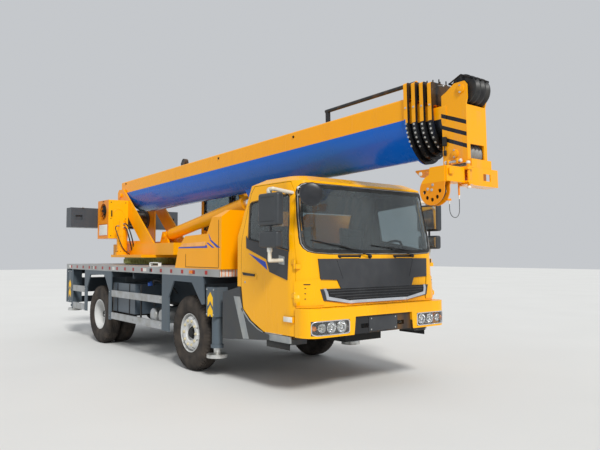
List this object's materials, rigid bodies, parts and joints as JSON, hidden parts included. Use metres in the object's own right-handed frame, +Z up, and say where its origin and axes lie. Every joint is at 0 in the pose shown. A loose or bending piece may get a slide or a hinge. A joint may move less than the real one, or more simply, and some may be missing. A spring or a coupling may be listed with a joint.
{
  "type": "mobile crane",
  "caption": "Truck crane with a low cab, telescopic boom over the cab, slewing upper deck with operator cabin, and stowed outriggers.",
  "frame": {"origin": "On the ground, at the middle of the overall length and width", "axes": "+X points forward past the cab, +Y to the left side, +Z up"},
  "size_m": [9.3365, 2.766, 3.5046],
  "materials": {
    "yellow_paint": "glossy yellow-orange paint",
    "grey_paint": "satin slate grey paint",
    "dark_grey_paint": "satin dark grey paint",
    "boom_paint": "glossy yellow-orange paint above, blue below",
    "aluminium_rail": "brushed",
    "moulded_plastic": "grained dark plastic",
    "gloss_black_plastic": "glossy black",
    "tyre_rubber": "dusty black rubber",
    "rim_paint": "silver paint",
    "cast_steel": "greasy dark steel",
    "cylinder_chrome": "hard chrome",
    "window_glass": "tinted",
    "lamp_glass": "clear",
    "seat_fabric": "woven dark cloth",
    "sheave_nylon": "dark nylon",
    "cable_rubber": "black"
  },
  "bodies": {
    "chassis": {"chassis_frame": "grey_paint", "deck": "yellow_paint", "side_skirts": "grey_paint", "guard_rails": "aluminium_rail", "axles": "cast_steel", "driveline": "cast_steel", "side_tanks": "grey_paint", "hood_boxes": "yellow_paint", "cab_shell": "yellow_paint", "cab_glass": "window_glass", "front_fascia": "moulded_plastic", "bumper": "yellow_paint", "lamps": "lamp_glass", "cab_seats": "seat_fabric", "dashboard": "moulded_plastic", "cab_fenders": "moulded_plastic", "front_mirror": "moulded_plastic", "slew_ring": "cast_steel"},
    "cab_door_right": {"door_right": "yellow_paint", "mirrors_right": "moulded_plastic"},
    "cab_door_left": {"door_left": "yellow_paint", "mirrors_left": "moulded_plastic"},
    "steering_right": {"knuckle_right": "cast_steel"},
    "steering_left": {"knuckle_left": "cast_steel"},
    "wheel_front_right": {"tyre_front_right": "tyre_rubber", "rim_front_right": "rim_paint"},
    "wheel_front_left": {"tyre_front_left": "tyre_rubber", "rim_front_left": "rim_paint"},
    "wheel_rear_right": {"tyres_rear_right": "tyre_rubber", "rims_rear_right": "rim_paint"},
    "wheel_rear_left": {"tyres_rear_left": "tyre_rubber", "rims_rear_left": "rim_paint"},
    "superstructure": {"turntable": "yellow_paint", "slew_drive": "yellow_paint", "equipment_cabinet": "yellow_paint", "counterweight": "dark_grey_paint", "operator_cab": "yellow_paint", "operator_seat": "seat_fabric"},
    "sliding_door": {"operator_door": "yellow_paint"},
    "winch": {"winch_drum": "dark_grey_paint"},
    "boom_base": {"boom_1": "boom_paint"},
    "boom_second": {"boom_2": "boom_paint"},
    "boom_third": {"boom_3": "boom_paint"},
    "boom_fourth": {"boom_4": "boom_paint"},
    "boom_fifth": {"boom_5": "boom_paint"},
    "head_top_sheaves": {"top_sheaves": "sheave_nylon"},
    "head_lower_sheaves": {"lower_sheaves": "sheave_nylon"},
    "swing_arm": {"single_top": "yellow_paint", "switch_cable": "cable_rubber"},
    "swing_arm_sheave": {"single_sheave": "sheave_nylon"},
    "cylinder_barrel": {"lift_barrel": "yellow_paint"},
    "cylinder_rod": {"lift_rod": "cylinder_chrome"},
    "beam_front_right": {"outrigger_front_right": "grey_paint"},
    "leg_front_right": {"jack_front_right": "grey_paint"},
    "beam_front_left": {"outrigger_front_left": "grey_paint"},
    "leg_front_left": {"jack_front_left": "grey_paint"},
    "beam_rear_right": {"outrigger_rear_right": "grey_paint"},
    "leg_rear_right": {"jack_rear_right": "grey_paint"},
    "beam_rear_left": {"outrigger_rear_left": "grey_paint"},
    "leg_rear_left": {"jack_rear_left": "grey_paint"}
  },
  "joints": [
    {"name": "slew", "type": "hinge", "parent": "chassis", "child": "superstructure", "pos_m": [-2.74, 0, 1.54], "axis": [0, 0, 1], "continuous": true},
    {"name": "boom_luff", "type": "hinge", "parent": "superstructure", "child": "boom_base", "pos_m": [-3.79, 0, 2.8], "axis": [0, -1, 0], "range_deg": [0, 76]},
    {"name": "lift_barrel_swing", "type": "hinge", "parent": "superstructure", "child": "cylinder_barrel", "pos_m": [-2.34, 0, 1.95], "axis": [0, -1, 0], "range_deg": [0, 80.94]},
    {"name": "lift_rod_slide", "type": "slide", "parent": "cylinder_barrel", "child": "cylinder_rod", "axis": [0.9868, 0, 0.1616], "range_m": [0, 2.04095]},
    {"name": "second_section_slide", "type": "slide", "parent": "boom_base", "child": "boom_second", "axis": [0.9997, 0, 0.0262], "range_m": [0, 5.8]},
    {"name": "third_section_slide", "type": "slide", "parent": "boom_second", "child": "boom_third", "axis": [0.9997, 0, 0.0262], "range_m": [0, 5.8]},
    {"name": "fourth_section_slide", "type": "slide", "parent": "boom_third", "child": "boom_fourth", "axis": [0.9997, 0, 0.0262], "range_m": [0, 5.8]},
    {"name": "fifth_section_slide", "type": "slide", "parent": "boom_fourth", "child": "boom_fifth", "axis": [0.9997, 0, 0.0262], "range_m": [0, 5.8]},
    {"name": "top_sheaves_turn", "type": "hinge", "parent": "boom_fifth", "child": "head_top_sheaves", "pos_m": [4.48549, 0, 3.27179], "axis": [0, 1, 0], "continuous": true},
    {"name": "lower_sheaves_turn", "type": "hinge", "parent": "boom_fifth", "child": "head_lower_sheaves", "pos_m": [4.40753, 0, 2.61952], "axis": [0, 1, 0], "continuous": true},
    {"name": "single_top_swing", "type": "hinge", "parent": "boom_fifth", "child": "swing_arm", "pos_m": [4.64413, -0.265, 2.37063], "axis": [-0.0262, 0, 0.9997], "range_deg": [0, 180]},
    {"name": "single_sheave_turn", "type": "hinge", "parent": "swing_arm", "child": "swing_arm_sheave", "pos_m": [4.45002, -0.54, 2.2195], "axis": [0, 1, 0], "continuous": true},
    {"name": "winch_turn", "type": "hinge", "parent": "superstructure", "child": "winch", "pos_m": [-4.06, 0, 2.33], "axis": [0, 1, 0], "continuous": true},
    {"name": "operator_door_slide", "type": "slide", "parent": "superstructure", "child": "sliding_door", "axis": [-1, 0, 0], "range_m": [0, 0.67]},
    {"name": "cab_door_right_swing", "type": "hinge", "parent": "chassis", "child": "cab_door_right", "pos_m": [3.003, -1.14, 1.3], "axis": [0, 0, 1], "range_deg": [0, 60]},
    {"name": "cab_door_left_swing", "type": "hinge", "parent": "chassis", "child": "cab_door_left", "pos_m": [3.003, 1.14, 1.3], "axis": [0, 0, -1], "range_deg": [0, 60]},
    {"name": "steer_left", "type": "hinge", "parent": "chassis", "child": "steering_left", "pos_m": [0.66, 0.86, 0.515], "axis": [0, 0, 1], "range_deg": [-32, 32]},
    {"name": "steer_right", "type": "hinge", "parent": "chassis", "child": "steering_right", "pos_m": [0.66, -0.86, 0.515], "axis": [0, 0, 1], "range_deg": [-32, 32]},
    {"name": "wheel_front_left_roll", "type": "hinge", "parent": "steering_left", "child": "wheel_front_left", "pos_m": [0.66, 1.045, 0.515], "axis": [0, 1, 0], "continuous": true},
    {"name": "wheel_front_right_roll", "type": "hinge", "parent": "steering_right", "child": "wheel_front_right", "pos_m": [0.66, -1.045, 0.515], "axis": [0, 1, 0], "continuous": true},
    {"name": "wheel_rear_left_roll", "type": "hinge", "parent": "chassis", "child": "wheel_rear_left", "pos_m": [-2.74, 0.9, 0.515], "axis": [0, 1, 0], "continuous": true},
    {"name": "wheel_rear_right_roll", "type": "hinge", "parent": "chassis", "child": "wheel_rear_right", "pos_m": [-2.74, -0.9, 0.515], "axis": [0, 1, 0], "continuous": true},
    {"name": "beam_front_right_slide", "type": "slide", "parent": "chassis", "child": "beam_front_right", "axis": [0, -1, 0], "range_m": [0, 1.3]},
    {"name": "leg_front_right_lower", "type": "slide", "parent": "beam_front_right", "child": "leg_front_right", "axis": [0, 0, -1], "range_m": [0, 0.36]},
    {"name": "beam_front_left_slide", "type": "slide", "parent": "chassis", "child": "beam_front_left", "axis": [0, 1, 0], "range_m": [0, 1.3]},
    {"name": "leg_front_left_lower", "type": "slide", "parent": "beam_front_left", "child": "leg_front_left", "axis": [0, 0, -1], "range_m": [0, 0.36]},
    {"name": "beam_rear_right_slide", "type": "slide", "parent": "chassis", "child": "beam_rear_right", "axis": [0, -1, 0], "range_m": [0, 1.3]},
    {"name": "leg_rear_right_lower", "type": "slide", "parent": "beam_rear_right", "child": "leg_rear_right", "axis": [0, 0, -1], "range_m": [0, 0.58]},
    {"name": "beam_rear_left_slide", "type": "slide", "parent": "chassis", "child": "beam_rear_left", "axis": [0, 1, 0], "range_m": [0, 1.3]},
    {"name": "leg_rear_left_lower", "type": "slide", "parent": "beam_rear_left", "child": "leg_rear_left", "axis": [0, 0, -1], "range_m": [0, 0.58]}
  ],
  "couplings": [
    {"joint": "lift_barrel_swing", "follows": "boom_luff", "ratio": 1.0649},
    {"joint": "lift_rod_slide", "follows": "boom_luff", "m_per_rad": 1.5387},
    {"joint": "fourth_section_slide", "follows": "third_section_slide", "ratio": 1},
    {"joint": "fifth_section_slide", "follows": "third_section_slide", "ratio": 1},
    {"joint": "steer_right", "follows": "steer_left", "ratio": 1}
  ]
}
